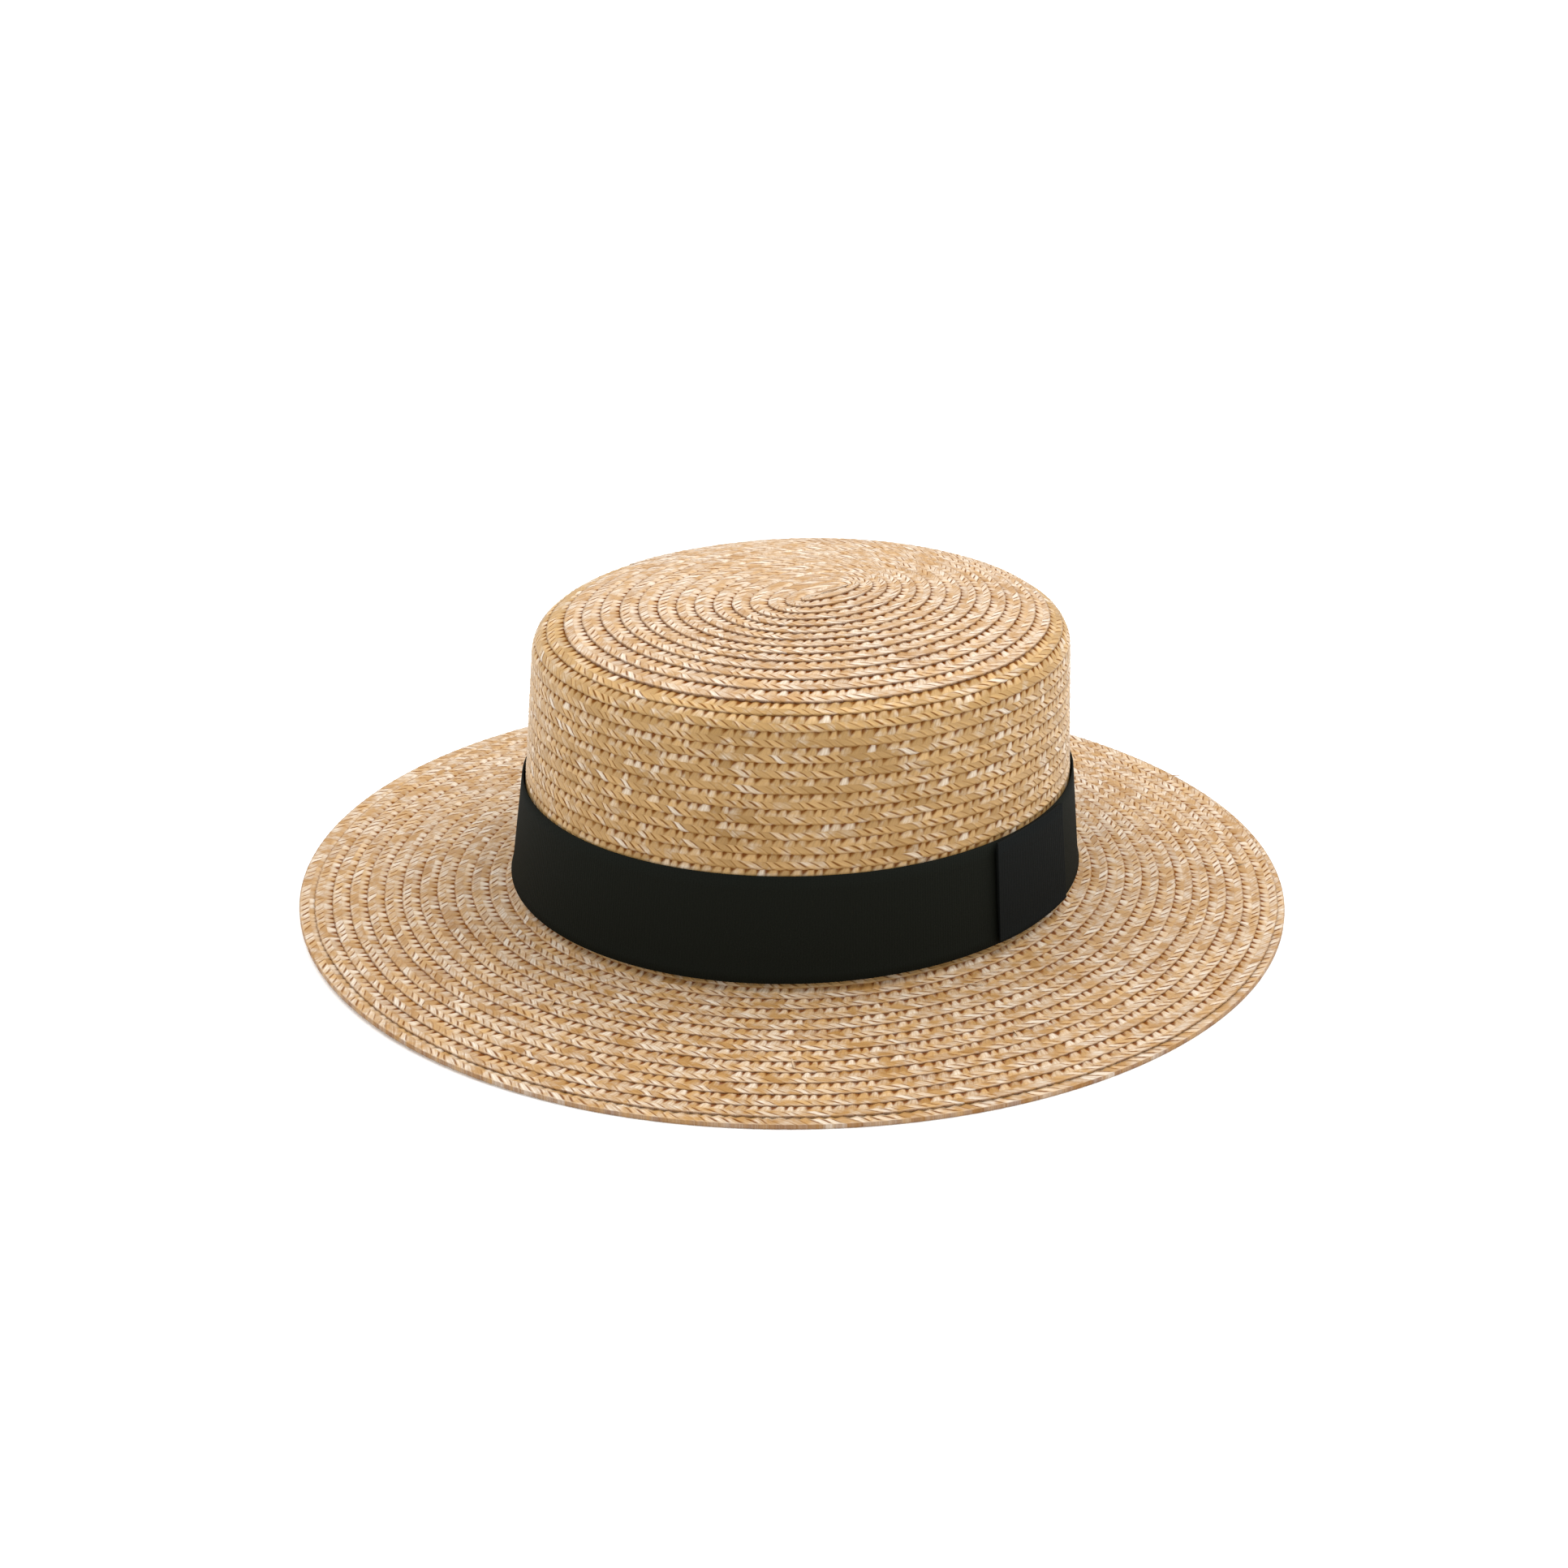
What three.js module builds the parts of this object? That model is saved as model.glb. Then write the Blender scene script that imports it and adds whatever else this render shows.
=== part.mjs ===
import * as THREE from "three";

// Straw boater hat: a flat-topped oval hat sewn from rows of one long straw plait, with a ribbon round the
// foot of its crown and a folded ribbon tab over the ribbon's join.
// Millimetres, +Z up. The hat rests on its brim's edge, and the wearer looks toward -Y with +X on the left.

// Oval and braid
const OVAL_EXTRA = 9.3; // half length (along Y) less half width (along X) of every oval
const BRIM_PITCH = 5.9; // width of braid that shows in one row of the brim
const SIDE_PITCH = 4.9; // and in one row of the crown's side
const TIP_PITCH = 5.5; // and of its tip
const ROW_STEP = 0.8; // how far a row's lower edge stands over the row below
const WALL = 1.8; // thickness of the sewn braid
const GAP = 0.3; // clearance between pieces that touch

// Brim
const BRIM_EDGE = 161.4; // half width at the brim's edge
const EDGE_THICKNESS = 1.8; // the edge row is doubled underneath
const BRIM_SLOPE = 4.2; // degrees that the brim drops outward, inside its level edge row

// Crown
const CROWN_FOOT = 87.6; // half width of the side wall at its foot
const SIDE_HEIGHT = 80.8; // side wall from the foot to the start of the rounded edge
const SIDE_SLOPE = 86.5; // degrees of the side wall from level
const EDGE_ROUND = 8.2; // radius of the edge between side and tip
const SHOULDER_SLOPE = 21; // degrees that the tip drops at that edge
const SHOULDER_WIDTH = 35.6; // stretch over which the tip levels out
const SHOULDER_CURVE = 1.6; // how quickly it levels out

// Ribbon and tab
const RIBBON_FOOT = 1.4; // height of its lower edge over the crown's foot
const RIBBON_TOP = 37.3;
const RIBBON_THICKNESS = 1;
const RIBBON_FLARE = 0.9; // how far the lower edge stands out over the corner of crown and brim
const FLARE_HEIGHT = 6; // rise over which that flare ends
const TAB_THICKNESS = 1.2;
const TAB_STEPS = 3; // the tab's length round the crown, in steps of the oval
const TAB_MIDDLE = 11; // degrees of the tab's middle from +X toward the back

// Facets
const STEPS = 44; // steps round an oval
const STEP_ANGLE = (2 * Math.PI) / STEPS;
const WALK = 0.2; // step of the walk along a wall's line
const radians = THREE.MathUtils.degToRad;
const FIRST_ANGLE = radians(TAB_MIDDLE) - (TAB_STEPS * STEP_ANGLE) / 2; // puts the tab's ends on two steps

function matt(name, color, roughness) {
  return new THREE.MeshStandardMaterial({ name, color, roughness, metalness: 0 });
}

const straw = matt("straw", "#d2ab73", 0.7);
const grosgrain = matt("grosgrain", "#1b1b17", 0.85);

// Walks inward and upward along a wall's line in the plane of half width and height.
// slopeAt(s) is the line's angle to the floor after s millimetres, and the walk ends at the half width given.
function walkLine(start, endWidth, slopeAt) {
  const line = [{ ...start, slope: radians(slopeAt(0)) }];
  while (line.at(-1).width > endWidth) {
    const last = line.at(-1);
    const slope = radians(slopeAt(line.length * WALK));
    const width = last.width - WALK * Math.cos(slope);
    const height = last.height + WALK * Math.sin(slope);
    line.push({ width, height, slope });
  }
  return line;
}

// The point at s millimetres along a line, lifted off it by some millimetres
function pointOn(line, s, lift) {
  const place = line[Math.min(Math.round(s / WALK), line.length - 1)];
  const width = place.width + lift * Math.sin(place.slope);
  const height = place.height + lift * Math.cos(place.slope);
  return { width, height };
}

// Rows of braid along a line, each lying over the row outside or below it
function braidRows(line, pitchAt) {
  const length = (line.length - 1) * WALK;
  const points = [];
  for (let s = 0; s < length; s += pitchAt(s)) {
    points.push(pointOn(line, s, ROW_STEP), pointOn(line, Math.min(s + pitchAt(s), length), 0));
  }
  return points;
}

// A point of the oval that has this half width, at an angle from +X
function onOval(width, angle, height) {
  return [width * Math.cos(angle), (width + OVAL_EXTRA) * Math.sin(angle), height];
}

// Sweeps a closed profile, counterclockwise in half width and height, round the oval.
// A full sweep joins up and may touch the axis. A part sweep is closed by a flat end at each side.
function sweepRound(profile, steps) {
  const full = steps === STEPS;
  const positions = [];
  const indices = [];
  const stations = full ? steps : steps + 1;
  const vertex = profile.map(({ width, height }) => {
    const first = positions.length / 3;
    const count = width === 0 ? 1 : stations;
    for (let k = 0; k < count; k += 1) {
      const angle = FIRST_ANGLE + k * STEP_ANGLE;
      positions.push(...(width === 0 ? [0, 0, height] : onOval(width, angle, height)));
    }
    return (k) => first + (count === 1 ? 0 : k % stations);
  });
  const addTriangle = (a, b, c) => {
    if (a !== b && b !== c && c !== a) indices.push(a, b, c);
  };
  vertex.forEach((a, i) => {
    const b = vertex[(i + 1) % vertex.length];
    for (let k = 0; k < steps; k += 1) {
      addTriangle(a(k), a(k + 1), b(k + 1));
      addTriangle(a(k), b(k + 1), b(k));
    }
  });
  if (!full) {
    const outline = profile.map(({ width, height }) => new THREE.Vector2(width, height));
    for (const [a, b, c] of THREE.ShapeUtils.triangulateShape(outline, [])) {
      addTriangle(vertex[a](0), vertex[b](0), vertex[c](0));
      addTriangle(vertex[c](steps), vertex[b](steps), vertex[a](steps));
    }
  }
  const geometry = new THREE.BufferGeometry();
  geometry.setAttribute("position", new THREE.Float32BufferAttribute(positions, 3));
  geometry.setIndex(indices);
  geometry.computeVertexNormals();
  return geometry;
}

// The brim's upper line runs level over the edge row and then climbs to the crown's foot.
const brimLine = walkLine({ width: BRIM_EDGE, height: EDGE_THICKNESS }, CROWN_FOOT + ROW_STEP + GAP, (s) => {
  const climb = THREE.MathUtils.smoothstep(s, BRIM_PITCH, 2 * BRIM_PITCH);
  return BRIM_SLOPE * climb;
});
const brimLength = (brimLine.length - 1) * WALK;
const seatHeight = brimLine.at(-1).height; // the crown's foot stands on the brim's inner rim here
const crownFootHeight = seatHeight + GAP;

// The crown's outer line climbs the side, turns over the rounded edge and levels out to the tip's middle.
const roundLength = EDGE_ROUND * radians(SIDE_SLOPE - SHOULDER_SLOPE);
const crownLine = walkLine({ width: CROWN_FOOT, height: crownFootHeight }, 0.4 * TIP_PITCH, (s) => {
  const pastSide = s - SIDE_HEIGHT;
  const turned = THREE.MathUtils.clamp(pastSide / roundLength, 0, 1);
  const levelled = THREE.MathUtils.clamp((pastSide - roundLength) / SHOULDER_WIDTH, 0, 1);
  const shoulder = SHOULDER_SLOPE * (1 - levelled) ** SHOULDER_CURVE;
  return turned < 1 ? THREE.MathUtils.lerp(SIDE_SLOPE, SHOULDER_SLOPE, turned) : shoulder;
});

function makeCrown() {
  const tipHeight = crownLine.at(-1).height;
  const innerStops = [1, 0.6, 0.3, 0.1, 0].map((part) => SIDE_HEIGHT + roundLength + part * SHOULDER_WIDTH);
  innerStops.push(SIDE_HEIGHT + 0.5 * roundLength, SIDE_HEIGHT, 0.5 * SIDE_HEIGHT, 0);
  const inner = innerStops.map((s) => pointOn(crownLine, s, -WALL));
  inner.at(-1).height = crownFootHeight;
  const outer = braidRows(crownLine, (s) => (s < SIDE_HEIGHT + roundLength ? SIDE_PITCH : TIP_PITCH));
  outer[0].height = crownFootHeight;
  const axis = [
    { width: 0, height: tipHeight },
    { width: 0, height: tipHeight - WALL },
  ];
  return sweepRound([...outer, ...axis, ...inner], STEPS);
}

function makeBrim() {
  const innerEdge = CROWN_FOOT - WALL;
  const edgeRowEnd = BRIM_EDGE - BRIM_PITCH;
  const top = braidRows(brimLine, () => BRIM_PITCH);
  const rim = [
    { width: innerEdge, height: seatHeight },
    { width: innerEdge, height: seatHeight - WALL },
  ];
  const below = [brimLength, 0.5 * brimLength, 2 * BRIM_PITCH].map((s) => pointOn(brimLine, s, -WALL));
  const rest = [
    { width: edgeRowEnd, height: 0 },
    { width: BRIM_EDGE, height: 0 },
  ];
  return sweepRound([...top, ...rim, ...below, ...rest], STEPS);
}

// A strip of ribbon laid flat on the crown's side, flaring over the corner at its lower edge.
// It stands clear of the wall by inset, which counts from the crown's own line.
function ribbonProfile(inset, thickness) {
  const rises = [
    { rise: RIBBON_FOOT, flare: RIBBON_FLARE },
    { rise: RIBBON_FOOT + 0.4 * FLARE_HEIGHT, flare: 0.4 * RIBBON_FLARE },
    { rise: RIBBON_FOOT + FLARE_HEIGHT, flare: 0 },
    { rise: RIBBON_TOP, flare: 0 },
  ];
  const face = (stand) => rises.map(({ rise, flare }) => {
    const { width } = pointOn(crownLine, rise, stand);
    return { width: width + flare, height: crownFootHeight + rise };
  });
  return [...face(inset + thickness), ...face(inset).reverse()];
}

const bandInset = ROW_STEP + GAP;
const tabInset = bandInset + RIBBON_THICKNESS + GAP;
const bandProfile = ribbonProfile(bandInset, RIBBON_THICKNESS);
const tabProfile = ribbonProfile(tabInset, TAB_THICKNESS);

function addPiece(name, geometry, material) {
  const mesh = new THREE.Mesh(geometry, material.clone());
  mesh.name = name;
  hat.add(mesh);
}

const hat = new THREE.Group();
hat.name = "straw_boater";
addPiece("crown", makeCrown(), straw);
addPiece("brim", makeBrim(), straw);
addPiece("ribbon_band", sweepRound(bandProfile, STEPS), grosgrain);
addPiece("ribbon_tab", sweepRound(tabProfile, TAB_STEPS), grosgrain);

export default hat;
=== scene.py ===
import math

import bpy
import numpy as np
from mathutils import Matrix, Vector


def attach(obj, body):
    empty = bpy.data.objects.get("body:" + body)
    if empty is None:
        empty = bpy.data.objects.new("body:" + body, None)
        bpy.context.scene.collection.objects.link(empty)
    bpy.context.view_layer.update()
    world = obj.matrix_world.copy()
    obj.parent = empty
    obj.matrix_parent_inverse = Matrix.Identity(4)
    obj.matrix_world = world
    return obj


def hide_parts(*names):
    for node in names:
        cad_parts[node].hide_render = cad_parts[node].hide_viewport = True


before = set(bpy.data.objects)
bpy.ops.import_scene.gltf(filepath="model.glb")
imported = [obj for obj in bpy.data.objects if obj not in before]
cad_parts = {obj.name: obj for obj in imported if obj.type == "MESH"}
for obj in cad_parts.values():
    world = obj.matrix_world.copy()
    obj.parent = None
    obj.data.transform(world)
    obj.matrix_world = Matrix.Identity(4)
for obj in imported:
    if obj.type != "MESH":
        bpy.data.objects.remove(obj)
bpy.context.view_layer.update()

# Crown: an oval tip and side wall of wheat straw, split, plaited flat and sewn in one spiral.
# The spiral starts in a short fold near the tip's middle, and each row lies over the edge of the next.
# The straws cross slantwise, so a row shows beads that lean one way over folds that lean the other.
MM = 0.001
TURN = 2.0 * math.pi
OVAL_EXTRA = 9.3 * MM  # half length less half width of every oval of the hat
BRIM_EDGE = 161.4 * MM  # half width at the brim's edge
EDGE_LINE = 1.8 * MM  # height of the hat's line there
BRIM_SLOPE = math.radians(4.17)
CROWN_FOOT = 87.8 * MM  # half width of the side wall at its foot
FOOT_ROUND = 5.0 * MM  # radius between brim and side wall
SIDE_SLOPE = math.radians(86.5)
SIDE_RISE = 81.2 * MM  # from the brim up to the rounded edge
EDGE_ROUND = 8.2 * MM  # radius between side wall and tip
SHOULDER_SLOPE = math.radians(21.0)
SHOULDER_WIDTH = 35.6 * MM  # stretch over which the tip levels out
SHOULDER_CURVE = 1.6
LINE_STEP = 0.2 * MM

TIP_PITCH = 5.5 * MM  # width of plait that shows in a row of the tip, of the side and of the brim
SIDE_PITCH = 4.9 * MM
BRIM_PITCH = 5.75 * MM
OVERLAP = 1.4 * MM  # width of plait under the row above
BEAD_LENGTH = 3.55 * MM
UNEVEN = 0.1  # how far beads stray along a row, in beads
CELL_STEPS = 4  # mesh steps along one bead
HEM = 0.48  # part of a row that its folded hem takes
BEAD_LEAN = 0.5  # how far beads lean over a row's width, in beads
FOLD_LEAN = 2.2  # and how far folds lean the other way
FOLD_PART = 0.6  # a fold's wave as a part of a bead's, and the swell goes with its square
HEM_BLEND = 0.06  # half the part of a row over which folds pass into beads
PLAIT_THICKNESS = 0.45 * MM
TIP_THICKNESS = 0.75 * MM  # rows of the tip are pressed less
BEAD_HEIGHT = 0.36 * MM  # how far a bead swells
BACK_RELIEF = 0.5  # the swell on a strip's back as a part of that on its face
SCALLOP = 0.25 * MM  # how far each fold of a row's lower edge stands out
SCALLOP_FADE = 0.2  # part of a strip's width over which that ends
TUCK = 0.2 * MM  # how far a row's upper edge sinks under the row above
WAVER = 0.12 * MM  # how far rows stray from true ovals
WARP = 2.6 * MM  # how far the brim's edge has warped up on the wearer's right
WARP_ANGLE = math.radians(205.0)
WARP_START = CROWN_FOOT + FOOT_ROUND  # half width at which the warp begins
EDGE_PEEP = 1.2 * MM  # how far the doubled row under the brim's edge peeps out
START_SHIFT = (-2.7 * MM, 14.0 * MM, 0.0)  # the start fold lies a little behind the tip's middle
START_ANGLE = math.radians(90.0)


def hat_line():
    """The hat's line, as half widths and heights from the tip's middle to the brim's edge.

    Also gives the places on it where the tip meets the rounded edge and the brim meets the foot.
    """
    width, height = BRIM_EDGE, EDGE_LINE
    foot_start = CROWN_FOOT + FOOT_ROUND * (math.sin(SIDE_SLOPE) - math.sin(BRIM_SLOPE))
    foot_turn = FOOT_ROUND * (SIDE_SLOPE - BRIM_SLOPE)
    edge_turn = EDGE_ROUND * (SIDE_SLOPE - SHOULDER_SLOPE)
    walked = turned = rounded = levelled = foot_height = 0.0
    points = [(width, height)]
    bends = {}
    while width > 0.0:
        if width > foot_start:
            climb = min(max(walked / BRIM_PITCH - 1.0, 0.0), 1.0)
            slope = BRIM_SLOPE * climb * climb * (3.0 - 2.0 * climb)
            foot_height = height
            bends["foot"] = len(points)
        elif turned < foot_turn:
            turned += LINE_STEP
            slope = BRIM_SLOPE + (SIDE_SLOPE - BRIM_SLOPE) * min(turned / foot_turn, 1.0)
        elif height < foot_height + SIDE_RISE:
            slope = SIDE_SLOPE
        elif rounded < edge_turn:
            rounded += LINE_STEP
            slope = SIDE_SLOPE + (SHOULDER_SLOPE - SIDE_SLOPE) * min(rounded / edge_turn, 1.0)
            bends["edge"] = len(points)
        else:
            levelled = min(levelled + LINE_STEP / SHOULDER_WIDTH, 1.0)
            slope = SHOULDER_SLOPE * (1.0 - levelled) ** SHOULDER_CURVE
        width = max(width - LINE_STEP * math.cos(slope), 0.0)
        height += LINE_STEP * math.sin(slope)
        walked += LINE_STEP
        points.append((width, height))
    return np.array(points[::-1]), {name: len(points) - 1 - place for name, place in bends.items()}


line, line_bends = hat_line()
line_reach = np.concatenate([[0.0], np.cumsum(np.hypot(*np.diff(line, axis=0).T))])
LINE_LENGTH = line_reach[-1]
TIP_REACH = line_reach[line_bends["edge"]]
FOOT_REACH = line_reach[line_bends["foot"]]
line_curve = bpy.data.curves.new("hat_line", "CURVE")
line_curve.dimensions = "3D"
line_spline = line_curve.splines.new("POLY")
line_spline.points.add(len(line) - 1)
zeros = np.zeros(len(line))
line_points = np.column_stack([line[:, 0], zeros, line[:, 1], zeros + 1.0])
line_spline.points.foreach_set("co", line_points.ravel())
line_object = bpy.data.objects.new("hat_line", line_curve)
bpy.context.scene.collection.objects.link(line_object)


def node(tree, kind, inputs=(), out=0, **settings):
    """Adds a node with its settings, sets or links its inputs, and gives back one of its outputs."""
    made = tree.nodes.new(kind)
    for name, value in settings.items():
        setattr(made, name, value)
    for key, value in inputs.items() if isinstance(inputs, dict) else enumerate(inputs):
        if isinstance(value, bpy.types.NodeSocket):
            tree.links.new(value, made.inputs[key])
        else:
            made.inputs[key].default_value = value
    return made.outputs[out]


def sewn_strip_tree():
    """Geometry nodes that lay a strip along a path on the hat and give it beads or ribs."""
    tree = bpy.data.node_groups.new("sewn_strip", "GeometryNodeTree")
    kinds = {
        "Geometry": "Geometry",
        "Hat line": "Object",
        "Oval extra": "Float",
        "Tip reach": "Float",
        "Start shift": "Vector",
        "Warp": "Float",
        "Face columns": "Int",
        "Back columns": "Int",
        "Lower lift": "Float",
        "Upper lift": "Float",
        "Thickness": "Float",
        "Bead height": "Float",
        "Rib height": "Float",
        "Scallop": "Float",
        "Material": "Material",
    }
    for name, kind in kinds.items():
        tree.interface.new_socket(name, in_out="INPUT", socket_type="NodeSocket" + kind)
    tree.interface.new_socket("Geometry", in_out="OUTPUT", socket_type="NodeSocketGeometry")
    given = tree.nodes.new("NodeGroupInput").outputs
    result = tree.nodes.new("NodeGroupOutput")

    def calc(operation, *values):
        return node(tree, "ShaderNodeMath", values, operation=operation)

    # The strip's section: face columns from the lower edge to the upper, and back columns the other way
    index = node(tree, "GeometryNodeInputIndex")
    columns = calc("ADD", given["Face columns"], given["Back columns"])
    section = node(tree, "GeometryNodeCurvePrimitiveCircle", {"Resolution": columns, "Radius": MM})
    face_gaps = calc("SUBTRACT", given["Face columns"], 1.0)
    back_gaps = calc("SUBTRACT", given["Back columns"], 1.0)
    on_back = calc("GREATER_THAN", index, face_gaps)
    face_part = calc("DIVIDE", index, face_gaps)
    back_part = calc("DIVIDE", calc("SUBTRACT", index, given["Face columns"]), back_gaps)
    back_across = calc("SUBTRACT", 1.0, back_part)
    across = node(tree, "ShaderNodeMix", {0: on_back, 2: face_part, 3: back_across}, data_type="FLOAT")
    stored = "GeometryNodeStoreNamedAttribute"
    for name, value in {"across": across, "back": on_back}.items():
        marked = {"Geometry": section, "Name": name, "Value": value}
        section = node(tree, stored, marked, domain="POINT")
    path = node(tree, "GeometryNodeMeshToCurve", [given["Geometry"]])
    swept = {"Curve": path, "Profile Curve": section, "Fill Caps": True}
    strip = node(tree, "GeometryNodeCurveToMesh", swept)

    # Where each point lies on the hat: how far down its line, how far round, and how far off it
    named = {}
    for name in ("across", "back", "turn", "reach", "lift", "width", "rows", "along"):
        named[name] = node(tree, "GeometryNodeInputNamedAttribute", {"Name": name}, data_type="FLOAT")
    edge_wave = calc("ABSOLUTE", calc("SINE", calc("MULTIPLY", named["along"], math.pi)))
    fading = (named["across"], 0.0, SCALLOP_FADE, given["Scallop"], 0.0)
    at_edge = node(tree, "ShaderNodeMapRange", fading)
    outward = calc("MULTIPLY", edge_wave, at_edge)
    inset = calc("SUBTRACT", calc("MULTIPLY", named["across"], named["width"]), outward)
    reach = calc("MAXIMUM", calc("SUBTRACT", named["reach"], inset), 0.0)
    hat = node(tree, "GeometryNodeObjectInfo", {"Object": given["Hat line"]}, out="Geometry")
    sample = tree.nodes.new("GeometryNodeSampleCurve")
    sample.mode = "LENGTH"
    tree.links.new(hat, sample.inputs["Curves"])
    tree.links.new(reach, sample.inputs["Length"])
    place = tree.nodes.new("ShaderNodeSeparateXYZ")
    tree.links.new(sample.outputs["Position"], place.inputs[0])
    heading = tree.nodes.new("ShaderNodeSeparateXYZ")
    tree.links.new(sample.outputs["Tangent"], heading.inputs[0])

    # Beads lean one way and the hem's folds the other; ribs run straight across
    row_part = calc("MULTIPLY", named["across"], named["rows"])
    bead_place = calc("MULTIPLY_ADD", row_part, -BEAD_LEAN, named["along"])
    fold_place = calc("MULTIPLY_ADD", row_part, FOLD_LEAN, named["along"])
    bead_wave = calc("ABSOLUTE", calc("SINE", calc("MULTIPLY", bead_place, math.pi)))
    fold_wave = calc("ABSOLUTE", calc("SINE", calc("MULTIPLY", fold_place, math.pi)))
    fold_wave = calc("MULTIPLY", fold_wave, FOLD_PART)
    in_beads = node(tree, "ShaderNodeMapRange", (row_part, HEM - HEM_BLEND, HEM + HEM_BLEND))
    wave = node(tree, "ShaderNodeMix", {0: in_beads, 2: fold_wave, 3: bead_wave}, data_type="FLOAT")
    relief = calc("MULTIPLY", calc("MULTIPLY", wave, wave), given["Bead height"])
    relief = calc("MULTIPLY_ADD", edge_wave, given["Rib height"], relief)
    relief_part = calc("MULTIPLY_ADD", named["back"], -1.0 - BACK_RELIEF, 1.0)
    lift_ends = {0: named["across"], 2: given["Lower lift"], 3: given["Upper lift"]}
    lift = node(tree, "ShaderNodeMix", lift_ends, data_type="FLOAT")
    behind = calc("MULTIPLY", named["back"], given["Thickness"])
    lift = calc("SUBTRACT", calc("ADD", lift, named["lift"]), behind)
    lift = calc("MULTIPLY_ADD", relief, relief_part, lift)

    # The line runs outward and down, so its outward normal is its heading turned a quarter
    width = calc("SUBTRACT", place.outputs["X"], calc("MULTIPLY", heading.outputs["Z"], lift))
    height = calc("MULTIPLY_ADD", heading.outputs["X"], lift, place.outputs["Z"])
    warped = node(tree, "ShaderNodeMapRange", (width, WARP_START, BRIM_EDGE))
    toward = calc("MAXIMUM", calc("COSINE", calc("SUBTRACT", named["turn"], WARP_ANGLE)), 0.0)
    warped = calc("MULTIPLY", calc("MULTIPLY", warped, warped), toward)
    height = calc("MULTIPLY_ADD", warped, given["Warp"], height)
    length = calc("ADD", width, given["Oval extra"])
    near_start = node(tree, "ShaderNodeMapRange", (reach, 0.0, given["Tip reach"], 1.0, 0.0))
    x = calc("MULTIPLY", width, calc("COSINE", named["turn"]))
    y = calc("MULTIPLY", length, calc("SINE", named["turn"]))
    laid = node(tree, "ShaderNodeCombineXYZ", (x, y, height))
    shifted = node(
        tree,
        "ShaderNodeVectorMath",
        (given["Start shift"], near_start, laid),
        operation="MULTIPLY_ADD",
    )
    strip = node(tree, "GeometryNodeSetPosition", {"Geometry": strip, "Position": shifted})
    plan = node(tree, "ShaderNodeCombineXYZ", (named["along"], row_part))
    plan_settings = {"data_type": "FLOAT2", "domain": "CORNER"}
    strip = node(tree, stored, {"Geometry": strip, "Name": "strip", "Value": plan}, **plan_settings)
    strip = node(tree, "GeometryNodeRealizeInstances", {"Geometry": strip})
    strip = node(tree, "GeometryNodeSetMaterial", {"Geometry": strip, "Material": given["Material"]})
    tree.links.new(strip, result.inputs["Geometry"])
    return tree


strip_tree = sewn_strip_tree()


def sewn_strip(name, path, closed, sizes):
    """A strip laid on the hat along a path of points with turn, reach, lift, width, rows and along."""
    count = len(path["turn"])
    guide = bpy.data.meshes.new(name)
    guide.vertices.add(count)
    guide.edges.add(count if closed else count - 1)
    first = np.arange(len(guide.edges))
    ends = np.column_stack([first, (first + 1) % count])
    guide.edges.foreach_set("vertices", ends.ravel().astype(np.int32))
    for attribute, values in path.items():
        stored = guide.attributes.new(attribute, "FLOAT", "POINT")
        stored.data.foreach_set("value", np.broadcast_to(values, count).astype(np.float32))
    guide.update()
    maker = bpy.data.objects.new(name + "_path", guide)
    bpy.context.scene.collection.objects.link(maker)
    laid = maker.modifiers.new("sewn_strip", "NODES")
    laid.node_group = strip_tree
    inputs = [item for item in strip_tree.interface.items_tree if item.in_out == "INPUT"]
    sockets = {item.name: item.identifier for item in inputs}
    shared = {
        "Hat line": line_object,
        "Oval extra": OVAL_EXTRA,
        "Tip reach": TIP_REACH,
        "Start shift": START_SHIFT,
        "Warp": WARP,
    }
    for socket, value in {**shared, **sizes}.items():
        laid[sockets[socket]] = value
    bpy.context.view_layer.update()
    mesh = bpy.data.meshes.new_from_object(maker.evaluated_get(bpy.context.evaluated_depsgraph_get()))
    mesh.name = name
    for leftover in (*path, "across", "back"):
        if leftover in mesh.attributes:
            mesh.attributes.remove(mesh.attributes[leftover])
    mesh.shade_smooth()
    bpy.data.objects.remove(maker)
    bpy.data.meshes.remove(guide)
    piece = bpy.data.objects.new(name, mesh)
    bpy.context.scene.collection.objects.link(piece)
    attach(piece, "root")
    return piece


# The spiral's path, in steps of the plait's own beads, with a last turn doubled under the brim's edge
REACH_STEPS = 40000
TURN_STEPS = 60000
PITCH_BLEND = 3.0 * MM  # how far before and after a bend of the hat the rows change width
DOUBLED_TURNS = 1.02  # turns of plait that run under the edge row
UNEVEN_PERIODS = (2.7, 4.3)  # in beads
UNEVEN_FADE = 10.0  # beads over which the unevenness ends at both ends of the plait
WAVER_PERIODS = (9.0, 15.0, 26.0, 41.0)  # in beads
random = np.random.default_rng(7)
fine_reach = np.linspace(0.0, LINE_LENGTH - EDGE_PEEP, REACH_STEPS)
pitch_places = [bend + side * PITCH_BLEND for bend in (TIP_REACH, FOOT_REACH) for side in (-1.0, 1.0)]
fine_pitch = np.interp(fine_reach, pitch_places, [TIP_PITCH, SIDE_PITCH, SIDE_PITCH, BRIM_PITCH])
fine_turn = np.concatenate([[0.0], np.cumsum(np.diff(fine_reach) / fine_pitch[1:])])
LAST_TURN = fine_turn[-1]
turn = np.linspace(0.0, LAST_TURN + DOUBLED_TURNS, TURN_STEPS)
reach = np.interp(turn, fine_turn, fine_reach)
pitch = np.interp(turn, fine_turn, fine_pitch)
half_width = np.interp(np.maximum(reach - 0.5 * pitch, 0.0), line_reach, line[:, 0])
sideways = half_width * np.sin(TURN * turn)
endways = (half_width + OVAL_EXTRA) * np.cos(TURN * turn)
cell_rate = np.hypot(sideways, endways) * TURN / BEAD_LENGTH
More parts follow.
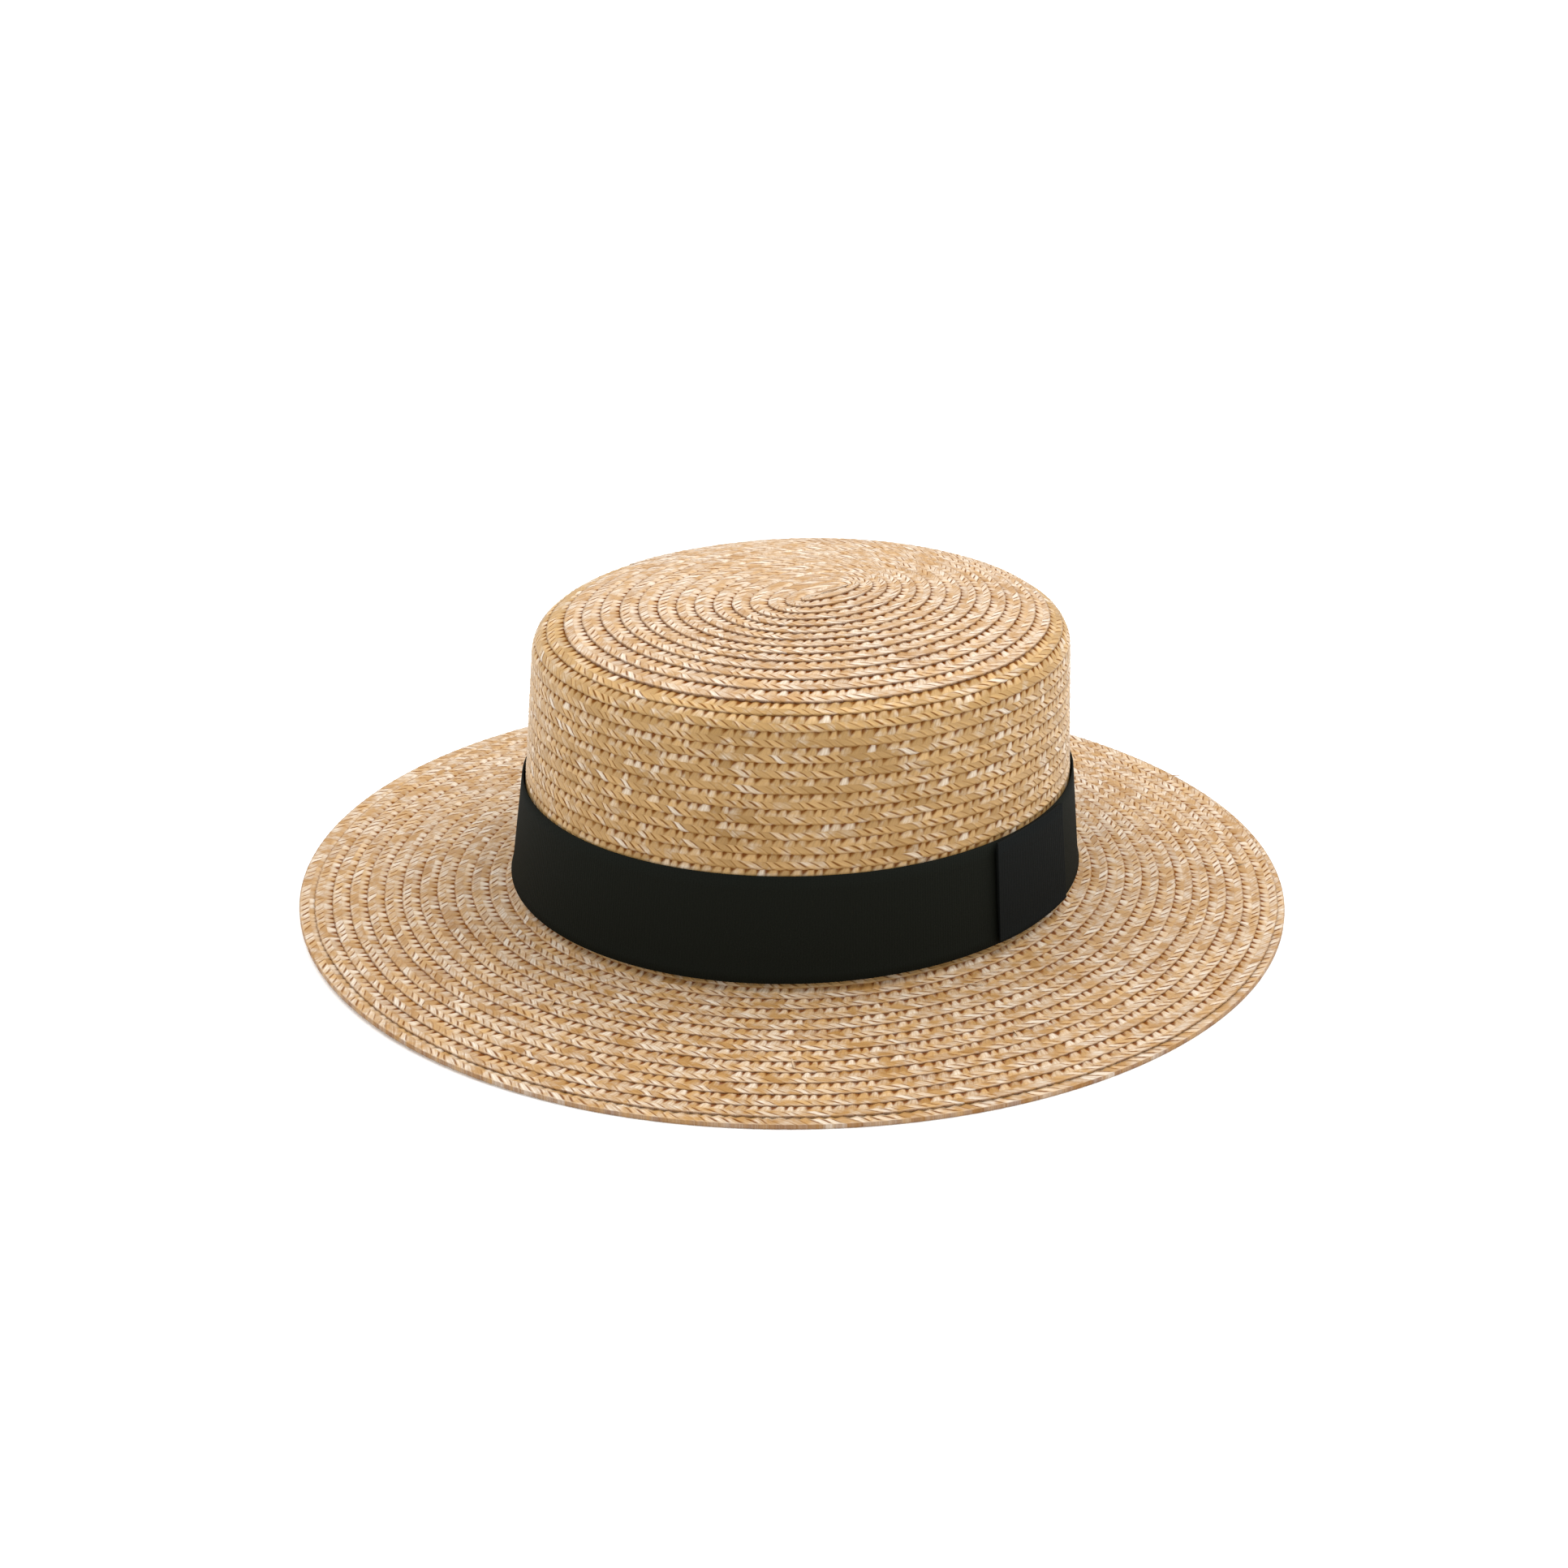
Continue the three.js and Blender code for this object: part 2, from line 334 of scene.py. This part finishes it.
cell_steps = 0.5 * (cell_rate[1:] + cell_rate[:-1]) * np.diff(turn)
cell_count = np.concatenate([[0.0], np.cumsum(cell_steps)])
along = np.arange(0.0, cell_count[-1], 1.0 / CELL_STEPS)


def waves(periods):
    """The sum of waves along the plait with these periods in beads, each begun at random."""
    return sum(np.sin(along * TURN / period + random.uniform(0.0, TURN)) for period in periods)


uneven = UNEVEN * waves(UNEVEN_PERIODS)
uneven = uneven * np.clip(np.minimum(along, along[-1] - along) / UNEVEN_FADE, 0.0, 1.0)
step_turn = np.interp(along + uneven, cell_count, turn)
step_pitch = np.interp(step_turn, turn, pitch)
doubled = step_turn > LAST_TURN
waver = WAVER * waves(WAVER_PERIODS) / math.sqrt(len(WAVER_PERIODS))
stray = np.where(doubled, EDGE_PEEP, waver)
spiral = {
    "turn": TURN * step_turn + START_ANGLE,
    "reach": np.minimum(np.interp(step_turn, turn, reach) + stray, LINE_LENGTH),
    "lift": np.zeros(len(along)),
    "width": step_pitch + OVERLAP + np.where(doubled, EDGE_PEEP, 0.0),
    "rows": (step_pitch + OVERLAP) / step_pitch,
    "along": along,
}


def linear(hex_colour):
    """A colour for a shader from its sRGB hex value."""
    parts = [int(hex_colour[i : i + 2], 16) / 255.0 for i in (1, 3, 5)]
    return tuple(c / 12.92 if c <= 0.04045 else ((c + 0.055) / 1.055) ** 2.4 for c in parts) + (1.0,)


PALE_STRAW = "#d2c8b9"
# Colour of the painted shade in notches, creases, slits and under rows
PAINTED_SHADE_BROWN = "#643003"
PALE_MOST = 0.95  # how pale a pale patch is at most
PALE_BEADS = (0.94, 0.98)  # tones of a bead, of 0 to 1, between which it turns pale all over
RUN_SHARE = 0.4  # share of runs along a row in the pale patches, the rest being blots
FIBRE_STRETCH = 7.0  # how many times finer the fibres are across a straw than along it
NOTCH_WIDTH = 0.23  # about half a notch's width at its widest, in beads
SLIT_MOST = 0.85  # how dark the painted shade in a slit is at most
LINE_PLACE = (0.9, 0.98)  # where across a row the painted shadow under the row above begins and is full
EDGE_SHADE = 0.08  # part of a row that the shade at its own lower edge takes
EDGE_SHARE = 0.7  # how brown that shade is beside the line


def plaited_straw(name, dull, bright, pale_limits, notch_limits, line_shade, crease_shade):
    """Wheat straw, split and plaited: silky golden fibres between two colours, pale patches, and painted
    shade in its gaps and under its rows.

    The pale limits say where a noise of 0 to 1 turns pale, so lower ones make more of the straw pale.
    The notch limits say where across a row the notches between beads begin and where they are widest.
    The depths, from 0 to 1, say how dark the painted shade is in the lines under rows and in the creases
    between beads.
    """
    material = bpy.data.materials.new(name)
    material.use_nodes = True
    tree = material.node_tree
    shader = tree.nodes["Principled BSDF"]

    def calc(operation, *values):
        return node(tree, "ShaderNodeMath", values, operation=operation)

    def span(value, low, high, at_low, at_high):
        return node(tree, "ShaderNodeMapRange", (value, low, high, at_low, at_high))

    def mix(part, first, second, blend="MIX"):
        inputs = {0: part, 6: first, 7: second}
        return node(tree, "ShaderNodeMix", inputs, out=2, data_type="RGBA", blend_type=blend)

    split = tree.nodes.new("ShaderNodeSeparateXYZ")
    tree.links.new(node(tree, "ShaderNodeUVMap", uv_map="strip"), split.inputs[0])
    along, across = split.outputs["X"], split.outputs["Y"]

    # Which bead or fold this is, and where in it
    beaded = calc("GREATER_THAN", across, HEM)
    lean = calc("MULTIPLY_ADD", beaded, -BEAD_LEAN - FOLD_LEAN, FOLD_LEAN)
    place = calc("MULTIPLY_ADD", across, lean, along)
    part = calc("FRACT", place)
    side_gap = calc("MINIMUM", part, calc("SUBTRACT", 1.0, part))
    cell = calc("FLOOR", place)
    cell_seed = node(tree, "ShaderNodeCombineXYZ", (cell, beaded))
    cell_tone = node(tree, "ShaderNodeTexWhiteNoise", {"Vector": cell_seed}, noise_dimensions="2D")
    zone_gap = calc("ABSOLUTE", calc("SUBTRACT", across, HEM))
    # Painted shade on each bead's round: pale patches fade toward a bead's sides and toward the hem's
    # edge
    side_round_shade = span(side_gap, 0.0, 0.2, 0.6, 1.0)
    bead_round_shade = calc("MULTIPLY", side_round_shade, span(zone_gap, 0.0, 0.1, 0.7, 1.0))

    # Straws vary a little, pale blots spread over a few beads, and now and then one whole bead is pale
    stretch = node(tree, "ShaderNodeCombineXYZ", (place, calc("MULTIPLY", beaded, 9.0)))
    run = node(tree, "ShaderNodeCombineXYZ", (cell, calc("MULTIPLY", beaded, 3.1)))
    pale_run = node(tree, "ShaderNodeTexNoise", {"Vector": run, "Scale": 0.45, "Detail": 2.0})
    spread = node(tree, "ShaderNodeCombineXYZ", (along, calc("MULTIPLY", across, 1.6)))
    pale_blot = node(tree, "ShaderNodeTexNoise", {"Vector": spread, "Scale": 0.8, "Detail": 3.0})
    blot_part = calc("MULTIPLY", pale_blot, 1.0 - RUN_SHARE)
    pale_noise = calc("MULTIPLY_ADD", pale_run, RUN_SHARE, blot_part)
    pale_patch = span(calc("MULTIPLY_ADD", cell_tone, 0.06, pale_noise), *pale_limits, 0.0, PALE_MOST)
    pale_bead = span(cell_tone, *PALE_BEADS, 0.0, 0.9)
    pale = calc("MULTIPLY", calc("MAXIMUM", pale_patch, pale_bead), bead_round_shade)
    # The hem's folds keep a tenth more pale than the beads: a painted highlight on the folds
    pale = calc("MULTIPLY", pale, calc("MULTIPLY_ADD", beaded, -0.1, 1.0))
    tone_run = node(tree, "ShaderNodeTexNoise", {"Vector": stretch, "Scale": 0.12, "Detail": 2.0})
    tone = calc("MULTIPLY_ADD", cell_tone, 0.5, span(tone_run, 0.35, 0.65, 0.0, 0.5))

    # Fine fibres along each straw break up its colour
    side_place = calc("MULTIPLY", part, FIBRE_STRETCH)
    fibre_place = node(tree, "ShaderNodeCombineXYZ", (side_place, across, cell_tone))
    fibre = node(tree, "ShaderNodeTexNoise", {"Vector": fibre_place, "Scale": 1.6, "Detail": 3.0})
    pale = calc("MULTIPLY", pale, span(fibre, 0.3, 0.65, 0.45, 1.0))
    straw = mix(pale, mix(tone, linear(dull), linear(bright)), linear(PALE_STRAW))
    fibred = mix(1.0, straw, span(fibre, 0.3, 0.7, 0.84, 1.1), "MULTIPLY")

    # Painted shade: brown in the notches between the beads' round tops, in soft creases below them, and
    # in a few slits in the hem, where the straws part
    top = span(across, *notch_limits, 0.0, 1.0)
    notch_gap = calc("MULTIPLY_ADD", top, -NOTCH_WIDTH, side_gap)
    open_part = calc("MULTIPLY", top, span(cell_tone, 0.1, 0.7, 0.3, 1.0))
    notch_shade = span(open_part, 0.05, 0.5, crease_shade, line_shade)
    notch = calc("MULTIPLY", span(notch_gap, -0.08, 0.12, 1.0, 0.0), notch_shade)
    slit_shade = span(cell_tone, 0.3, 0.7, 0.0, SLIT_MOST)
    slit = calc("MULTIPLY", span(side_gap, 0.05, 0.22, 1.0, 0.0), slit_shade)
    slit = calc("MULTIPLY", slit, span(across, 0.06, 0.18, 0.0, 1.0))
    slit = calc("MULTIPLY", slit, span(across, HEM - 0.08, HEM + 0.02, 1.0, 0.0))

    # Painted shadow: a broken brown line under a row's lower edge, where it falls on the next row, and
    # painted shade on that lower edge itself
    line_run = node(tree, "ShaderNodeTexNoise", {"Vector": stretch, "Scale": 0.8, "Detail": 1.0})
    edge = span(across, 0.0, EDGE_SHADE, EDGE_SHARE * line_shade, 0.0)
    row_shadow = calc("MAXIMUM", span(across, *LINE_PLACE, 0.0, line_shade), edge)
    row_shadow = calc("MULTIPLY", row_shadow, span(line_run, 0.35, 0.65, 0.3, 1.0))
    # All the painted shade together, in notches, creases, slits and under rows, mixed into the colour as
    # brown
    painted_shade = calc("MAXIMUM", calc("MAXIMUM", notch, slit), row_shadow)
    tree.links.new(mix(painted_shade, fibred, linear(PAINTED_SHADE_BROWN)), shader.inputs["Base Color"])

    # Straw's silky skin, and the round of each bead in fine relief
    shader.inputs["Roughness"].default_value = 0.5
    shader.inputs["IOR"].default_value = 1.5
    tree.links.new(span(painted_shade, 0.0, 0.6, 0.2, 0.0), shader.inputs["Specular IOR Level"])
    tree.links.new(span(painted_shade, 0.0, 0.5, 0.3, 0.0), shader.inputs["Coat Weight"])
    shader.inputs["Coat Roughness"].default_value = 0.35
    round_part = calc("SINE", calc("MULTIPLY", part, math.pi))
    relief = calc("MULTIPLY_ADD", painted_shade, -0.4, calc("MULTIPLY", round_part, 0.3))
    relief = calc("MULTIPLY_ADD", fibre, 0.15, relief)
    bump = node(tree, "ShaderNodeBump", {"Strength": 0.6, "Distance": 0.6 * MM, "Height": relief})
    tree.links.new(bump, shader.inputs["Normal"])
    return material


# The tip gets lower pale limits than the side, so more pale: partly the straw's own pale patches, partly
# a painted sheen on faces that look up
tip_straw = plaited_straw(
    "pale_straw_and_painted_sheen",
    dull="#9a7140",
    bright="#c29e70",
    pale_limits=(0.44, 0.64),
    notch_limits=(0.6, 0.95),
    line_shade=1.0,
    crease_shade=0.3,
)
side_straw = plaited_straw(
    "golden_wheat_straw",
    dull="#98743f",
    bright="#c6a16b",
    pale_limits=(0.53, 0.72),
    notch_limits=(0.55, 0.92),
    line_shade=0.9,
    crease_shade=0.45,
)
plait_sizes = {
    "Face columns": 10,
    "Back columns": 4,
    "Lower lift": PLAIT_THICKNESS,
    "Upper lift": -TUCK,
    "Thickness": PLAIT_THICKNESS,
    "Bead height": BEAD_HEIGHT,
    "Rib height": 0.0,
    "Scallop": SCALLOP,
}
side_sizes = {**plait_sizes, "Material": side_straw}
tip_lift = {"Lower lift": TIP_THICKNESS, "Thickness": TIP_THICKNESS}
tip_sizes = {**plait_sizes, **tip_lift, "Material": tip_straw}
RIBBON_HEIGHT = 36.3 * MM
HIDDEN_ROWS = 2.0  # rows under the ribbon's upper edge that are as fine as those in view
HIDDEN_REACH = FOOT_REACH - RIBBON_HEIGHT + HIDDEN_ROWS * SIDE_PITCH
cut_reach = [TIP_REACH, HIDDEN_REACH, FOOT_REACH]
TIP_TURN, HIDDEN_TURN, FOOT_TURN = np.interp(cut_reach, fine_reach, fine_turn)
SIDE_TURN = 0.5 * (TIP_TURN + HIDDEN_TURN)  # the side in view is cut halfway into two pieces


def plait_piece(name, node_name, start_turn, end_turn, sizes, stride=1):
    """One stretch of the spiral, between two counts of turns, as a piece of the hat.

    The stride is the number of the spiral's steps in one step of the mesh.
    """
    first, last = np.searchsorted(step_turn, (start_turn, end_turn))
    stretch = {attribute: values[first : last + 1 : stride] for attribute, values in spiral.items()}
    piece = sewn_strip(name, stretch, False, sizes)
    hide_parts(node_name)


plait_piece("crown_tip", "crown", 0.0, TIP_TURN, tip_sizes)
plait_piece("crown_side_upper", "crown", TIP_TURN, SIDE_TURN, side_sizes)
plait_piece("crown_side_lower", "crown", SIDE_TURN, HIDDEN_TURN, side_sizes)
plait_piece("crown_foot", "crown", HIDDEN_TURN, FOOT_TURN, side_sizes, stride=2)

# Brim: the same plait, sewn on outward from the crown's foot, stiff and nearly flat.
# Its last turn runs doubled under the edge row and peeps out below it. A few cut straw ends stick out.
INNER_PART = 0.55  # part of the brim's turns in its inner piece, as outer turns are longer
EDGE_LIFT = -0.35 * MM  # the doubled row's face under the hat's line
EDGE_THICKNESS = 1.25 * MM
# Lower pale limits than the side's: partly the straw's own pale patches, partly a painted sheen on the
# brim's upward face
brim_straw = plaited_straw(
    "wheat_straw",
    dull="#966c37",
    bright="#bf9a68",
    pale_limits=(0.455, 0.655),
    notch_limits=(0.57, 0.92),
    line_shade=0.92,
    crease_shade=0.3,
)
brim_sizes = {**plait_sizes, "Material": brim_straw}
edge_lift = {"Lower lift": EDGE_LIFT, "Upper lift": EDGE_LIFT, "Thickness": EDGE_THICKNESS}
SPLIT_TURN = (1.0 - INNER_PART) * FOOT_TURN + INNER_PART * LAST_TURN
plait_piece("brim_inner", "brim", FOOT_TURN, SPLIT_TURN, brim_sizes)
plait_piece("brim_outer", "brim", SPLIT_TURN, LAST_TURN, brim_sizes)
plait_piece("brim_edge", "brim", LAST_TURN, step_turn[-1], {**brim_sizes, **edge_lift})


def on_hat(turn, reach, lift):
    """The place at a turn (radians) and reach, lifted off the hat's line."""
    width, height = (np.interp(reach, line_reach, column) for column in line.T)
    ahead, drop = (np.interp(reach, line_reach, np.gradient(column, line_reach)) for column in line.T)
    width, height = width - drop * lift, height + ahead * lift
    warped = np.clip((width - WARP_START) / (BRIM_EDGE - WARP_START), 0.0, 1.0)
    height = height + WARP * warped**2 * np.maximum(np.cos(turn - WARP_ANGLE), 0.0)
    return np.column_stack([width * np.cos(turn), (width + OVAL_EXTRA) * np.sin(turn), height])


# Each end is a flat sliver with a blunt tip, from under a row's lower edge
LOOSE_ENDS = 26
END_LENGTHS = (2.0, 5.0)  # shortest and longest, in millimetres
END_RISES = (0.1, 0.7)  # how far they lift off the brim, in millimetres
END_SLANT = 1.2  # how far they turn from straight outward at most, in radians
END_WIDTH = 0.45 * MM
END_THICKNESS = 0.16 * MM
END_ROOT = -0.3  # where a sliver begins, in its lengths from the row's edge
END_RINGS = ((END_ROOT, 1.0), (0.4, 1.0), (1.0, 0.6))  # places along it, and parts of its width there
END_CORNERS = ((-0.5, -0.5), (0.5, -0.5), (0.5, 0.5), (-0.5, 0.5))
END_TONES = 17  # beads of the straw's pattern between the tones of two ends
BEAD_MIDDLE = 0.55  # a place across a row that is clear of slits and lines
end_turn = random.uniform(FOOT_TURN + 1.0, LAST_TURN, LOOSE_ENDS)
end_length = random.uniform(*END_LENGTHS, LOOSE_ENDS) * MM
end_slant = random.uniform(-END_SLANT, END_SLANT, LOOSE_ENDS)
end_rise = random.uniform(*END_RISES, LOOSE_ENDS) * MM
end_reach = np.interp(end_turn, fine_turn, fine_reach)
end_angle = TURN * end_turn + START_ANGLE
end_width = np.interp(end_reach, line_reach, line[:, 0])
sliver_rings = []
for part, size in END_RINGS:
    out = part * end_length * np.cos(end_slant)
    aside = part * end_length * np.sin(end_slant) / end_width
    lift = PLAIT_THICKNESS + end_rise * (part - END_ROOT)
    for side, above in END_CORNERS:
        skew = side * END_WIDTH * size
        angle = end_angle + aside + skew * np.cos(end_slant) / end_width
        reached = np.minimum(end_reach + out - skew * np.sin(end_slant), LINE_LENGTH)
        sliver_rings.append(on_hat(angle, reached, lift + above * END_THICKNESS))
sliver_points = np.stack(sliver_rings, axis=1).reshape(-1, 3)
box_faces = [(3, 2, 1, 0), (8, 9, 10, 11)]
box_faces += [(r + k, r + (k + 1) % 4, r + 4 + (k + 1) % 4, r + 4 + k) for r in (0, 4) for k in range(4)]
sliver_faces = [tuple(12 * end + k for k in face) for end in range(LOOSE_ENDS) for face in box_faces]
sliver_mesh = bpy.data.meshes.new("straw_ends")
sliver_mesh.from_pydata(sliver_points.tolist(), [], sliver_faces)
sliver_plan = sliver_mesh.uv_layers.new(name="strip")
sliver_tone = np.repeat(np.arange(LOOSE_ENDS) * END_TONES + 0.5, 4 * len(box_faces))
sliver_across = np.full(len(sliver_tone), BEAD_MIDDLE)
sliver_uv = np.column_stack([sliver_tone + BEAD_LEAN * BEAD_MIDDLE, sliver_across])
sliver_plan.data.foreach_set("uv", sliver_uv.ravel())
sliver_mesh.materials.append(brim_straw)
straw_ends = bpy.data.objects.new("straw_ends", sliver_mesh)
bpy.context.scene.collection.objects.link(straw_ends)
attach(straw_ends, "root")

# Ribbon band: black grosgrain, a ribbon with close ribs across it, drawn round the foot of the crown.
# Its lower edge follows the turn from side wall to brim and so stands out a little.
RIBBON_THICKNESS = 0.5 * MM
RIBBON_CLEARANCE = 0.05 * MM  # between its back and the highest that a bead could stand
RIBBON_LIFT = PLAIT_THICKNESS + BEAD_HEIGHT + RIBBON_THICKNESS + RIBBON_CLEARANCE
RIBBON_PRESS = 0.25 * MM  # how much closer to the straw the upper edge is drawn
RIBBON_FLARE = 1.5 * MM  # how much farther the lower edge stands off
RIBBON_FOOT_RISE = 1.8 * MM  # its lower edge over the brim's line
RIBBON_SLACK = 0.5 * MM  # how far the band bows off the crown on two opposite sides
SLACK_ANGLE = math.radians(44.0)
RIB_PITCH = 0.9 * MM
RIB_HEIGHT = 0.1 * MM
RIB_STEPS = 4  # mesh steps from one rib to the next
OVAL_STEPS = 7200
foot_height = line[line_bends["foot"], 1]
ribbon_reach = np.interp(-foot_height - RIBBON_FOOT_RISE, -line[:, 1], line_reach)
band_width = np.interp(ribbon_reach - 0.5 * RIBBON_HEIGHT, line_reach, line[:, 0]) + RIBBON_LIFT
oval_angle = np.linspace(0.0, TURN, OVAL_STEPS + 1)
oval_speed = np.hypot(band_width * np.sin(oval_angle), (band_width + OVAL_EXTRA) * np.cos(oval_angle))
oval_parts = 0.5 * (oval_speed[1:] + oval_speed[:-1]) * np.diff(oval_angle)
oval_length = np.concatenate([[0.0], np.cumsum(oval_parts)])
BAND_LENGTH = oval_length[-1]


def grosgrain(name, deep, raised_highlight):
    """Rayon grosgrain: matt black ribs in a deep ink, with a painted highlight where its weave stands
    highest.
    """
    material = bpy.data.materials.new(name)
    material.use_nodes = True
    tree = material.node_tree
    shader = tree.nodes["Principled BSDF"]
    plan = node(tree, "ShaderNodeUVMap", uv_map="strip")
    threads = node(tree, "ShaderNodeMapping", {0: plan, 3: (2.0, 3.0, 1.0)})
    weave = node(tree, "ShaderNodeTexNoise", {"Vector": threads, "Scale": 1.0, "Detail": 2.0})
    shade = node(tree, "ShaderNodeMapRange", (weave, 0.3, 0.7))
    # The second colour is a painted highlight on the raised weave, since the bump follows the same noise
    ink_and_highlight = {0: shade, 6: linear(deep), 7: linear(raised_highlight)}
    colour = node(tree, "ShaderNodeMix", ink_and_highlight, out=2, data_type="RGBA")
    tree.links.new(colour, shader.inputs["Base Color"])
    shader.inputs["Roughness"].default_value = 0.7
    shader.inputs["Specular IOR Level"].default_value = 0.05
    bump = node(tree, "ShaderNodeBump", {"Strength": 0.3, "Distance": 0.1 * MM, "Height": weave})
    tree.links.new(bump, shader.inputs["Normal"])
    return material


ribbon_sizes = {
    "Face columns": 9,
    "Back columns": 3,
    "Lower lift": RIBBON_LIFT + RIBBON_FLARE,
    "Upper lift": RIBBON_LIFT - RIBBON_PRESS,
    "Thickness": RIBBON_THICKNESS,
    "Bead height": 0.0,
    "Rib height": RIB_HEIGHT,
    "Scallop": 0.0,
    "Material": grosgrain("black_grosgrain", "#0f110d", "#161813"),
}
rib_steps = round(BAND_LENGTH / RIB_PITCH) * RIB_STEPS
band_place = np.arange(rib_steps) / rib_steps
band_turn = np.interp(BAND_LENGTH * band_place, oval_length, oval_angle)
band_path = {
    "turn": band_turn,
    "reach": ribbon_reach,
    "lift": RIBBON_SLACK * np.cos(band_turn - SLACK_ANGLE) ** 2,
    "width": RIBBON_HEIGHT,
    "rows": RIBBON_HEIGHT / RIB_PITCH,
    "along": np.arange(rib_steps) / RIB_STEPS,
}
ribbon_band = sewn_strip("grosgrain_band", band_path, True, ribbon_sizes)
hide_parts("ribbon_band")

# Ribbon tab: a short length of the same ribbon, folded flat over the band's join on the wearer's left.
# It is stiff, so it curves less than the band and its two ends stand a little proud.
TAB_MIDDLE = math.radians(10.3)
TAB_LENGTH = 40.0 * MM
TAB_DROP = 0.7 * MM  # how far it hangs below the band
TAB_RISE = 0.2 * MM  # and how far it stands above it
TAB_WIDTH = RIBBON_HEIGHT + TAB_DROP + TAB_RISE
TAB_THICKNESS = 0.8 * MM
TAB_LIFT = 0.9 * MM  # over the band at its middle
TAB_END_LIFT = 1.1 * MM  # further at its ends
tab_steps = round(TAB_LENGTH / RIB_PITCH) * RIB_STEPS
tab_part = np.linspace(-0.5, 0.5, tab_steps + 1)
tab_place = np.interp(TAB_MIDDLE, oval_angle, oval_length) + TAB_LENGTH * tab_part
tab_turn = np.interp(tab_place % BAND_LENGTH, oval_length, oval_angle)
tab_slack = RIBBON_SLACK * np.cos(tab_turn - SLACK_ANGLE) ** 2
tab_path = {
    "turn": tab_turn,
    "reach": ribbon_reach + TAB_DROP,
    "lift": TAB_LIFT + tab_slack + TAB_END_LIFT * (2.0 * tab_part) ** 2,
    "width": TAB_WIDTH,
    "rows": TAB_WIDTH / RIB_PITCH,
    "along": np.arange(tab_steps + 1) / RIB_STEPS,
}
# Its second colour is the painted highlight on the raised weave
tab_grosgrain = grosgrain("blue_black_grosgrain", "#0c0e0d", "#131616")
tab_sizes = {**ribbon_sizes, "Thickness": TAB_THICKNESS, "Material": tab_grosgrain}
ribbon_tab = sewn_strip("grosgrain_tab", tab_path, False, tab_sizes)
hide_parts("ribbon_tab")
bpy.data.objects.remove(line_object)

# Stage: a plain white floor under the hat, a white surround, and a broad soft box over each side of it.
# The right box is the stronger. The camera stands at the wearer's front left and looks down a little.
floor_mesh = bpy.data.meshes.new("floor")
FLOOR_HALF = 6.0
corners = [(-1.0, -1.0), (1.0, -1.0), (1.0, 1.0), (-1.0, 1.0)]
floor_mesh.from_pydata([(x * FLOOR_HALF, y * FLOOR_HALF, 0.0) for x, y in corners], [], [(0, 1, 2, 3)])
floor = bpy.data.objects.new("floor", floor_mesh)
bpy.context.scene.collection.objects.link(floor)
floor_material = bpy.data.materials.new("white_paper")
floor_material.use_nodes = True
floor_shader = floor_material.node_tree.nodes["Principled BSDF"]
floor_shader.inputs["Base Color"].default_value = linear("#f8f8f8")
floor_shader.inputs["Roughness"].default_value = 0.9
floor_shader.inputs["Emission Color"].default_value = linear("#ffffff")
floor_shader.inputs["Emission Strength"].default_value = 0.1
floor_mesh.materials.append(floor_material)

world = bpy.data.worlds.new("studio")
bpy.context.scene.world = world
world.use_nodes = True
world.node_tree.nodes["Background"].inputs["Color"].default_value = linear("#ffffff")
world.node_tree.nodes["Background"].inputs["Strength"].default_value = 1.0

CAMERA_AZIMUTH = math.radians(44.28)
CAMERA_HEIGHT_ANGLE = math.radians(23.3)
CAMERA_ROLL = 0.0242  # radians
CAMERA_DISTANCE = 877.5 * MM
FOCAL_PIXELS = 3208.0
FRAME_PIXELS = 1932.0
TARGET_RIGHT = -5.34 * MM
TARGET_HEIGHT = 35.3 * MM
right = Vector((math.cos(CAMERA_AZIMUTH), math.sin(CAMERA_AZIMUTH), 0.0))
level_back = Vector((math.sin(CAMERA_AZIMUTH), -math.cos(CAMERA_AZIMUTH), 0.0))
back = level_back * math.cos(CAMERA_HEIGHT_ANGLE) + Vector((0, 0, math.sin(CAMERA_HEIGHT_ANGLE)))
up = back.cross(right)
rolled_right = right * math.cos(CAMERA_ROLL) + up * math.sin(CAMERA_ROLL)
rolled_up = up * math.cos(CAMERA_ROLL) - right * math.sin(CAMERA_ROLL)
camera_data = bpy.data.cameras.new("camera")
camera_data.sensor_width = 36.0
camera_data.lens = camera_data.sensor_width * FOCAL_PIXELS / FRAME_PIXELS
camera = bpy.data.objects.new("camera", camera_data)
bpy.context.scene.collection.objects.link(camera)
stand = right * TARGET_RIGHT + Vector((0, 0, TARGET_HEIGHT)) + back * CAMERA_DISTANCE
turned = Matrix((rolled_right, rolled_up, back)).transposed().to_4x4()
camera.matrix_world = Matrix.Translation(stand) @ turned
bpy.context.scene.camera = camera

BOX_SIZE = 0.9
BOX_HEIGHT = 1.3
BOX_BEHIND = 0.2  # how far beyond the hat's middle, seen from the camera
AIM_HEIGHT = 0.04


def soft_box(name, aside, power):
    """A square soft box that hangs to the right or left and shines at the hat."""
    lamp = bpy.data.lights.new(name, "AREA")
    lamp.size = BOX_SIZE
    lamp.energy = power
    light = bpy.data.objects.new(name, lamp)
    bpy.context.scene.collection.objects.link(light)
    place = right * aside - level_back * BOX_BEHIND + Vector((0, 0, BOX_HEIGHT))
    light.location = place
    light.rotation_euler = (Vector((0, 0, AIM_HEIGHT)) - place).to_track_quat("-Z", "Y").to_euler()


soft_box("right_box", aside=0.65, power=14.5)
soft_box("left_box", aside=-0.75, power=9.5)
bpy.context.scene.view_settings.view_transform = "Standard"
